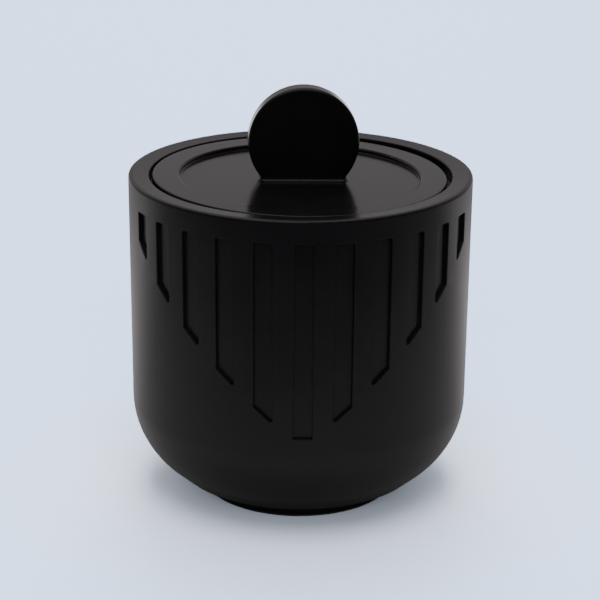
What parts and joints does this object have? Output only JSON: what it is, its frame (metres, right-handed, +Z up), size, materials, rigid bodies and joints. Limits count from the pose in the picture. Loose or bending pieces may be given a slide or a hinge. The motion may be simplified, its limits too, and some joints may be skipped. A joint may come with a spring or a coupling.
{
  "type": "ice bucket",
  "caption": "Round insulated ice bucket with a grooved wall, a small foot and a flush lift-off lid with an upright disc handle.",
  "frame": {"origin": "centre of the foot's underside, on the surface it stands on", "axes": "+Z up along the bucket's axis, -Y to the front, where the groove pattern's long centre groove is, +X to the right seen from the front"},
  "size_m": [0.155, 0.155, 0.1893],
  "materials": {
    "black_shell": "satin black moulded plastic, fine grain",
    "black_liner": "satin black moulded plastic",
    "black_base": "matte black moulded plastic",
    "black_lid": "satin black moulded plastic, smoother than the wall",
    "black_handle": "satin black moulded plastic",
    "black_plug": "satin black moulded plastic",
    "foam": "closed-cell insulation foam",
    "silicone": "matte black silicone",
    "screw_steel": "stainless steel"
  },
  "bodies": {
    "bucket": {"outer_shell": "black_shell", "inner_liner": "black_liner", "body_foam": "foam", "base_cap": "black_base", "base_screws": "screw_steel", "foot_ring": "silicone"},
    "lid": {"lid_cover": "black_lid", "lid_handle": "black_handle", "handle_screws": "screw_steel", "handle_washers": "screw_steel", "lid_base": "black_plug", "lid_foam": "foam", "lid_gasket": "silicone"}
  },
  "joints": [
    {"name": "lid_lift", "type": "slide", "parent": "bucket", "child": "lid", "axis": [0, 0, 1], "range_m": [0, 0.15]}
  ]
}
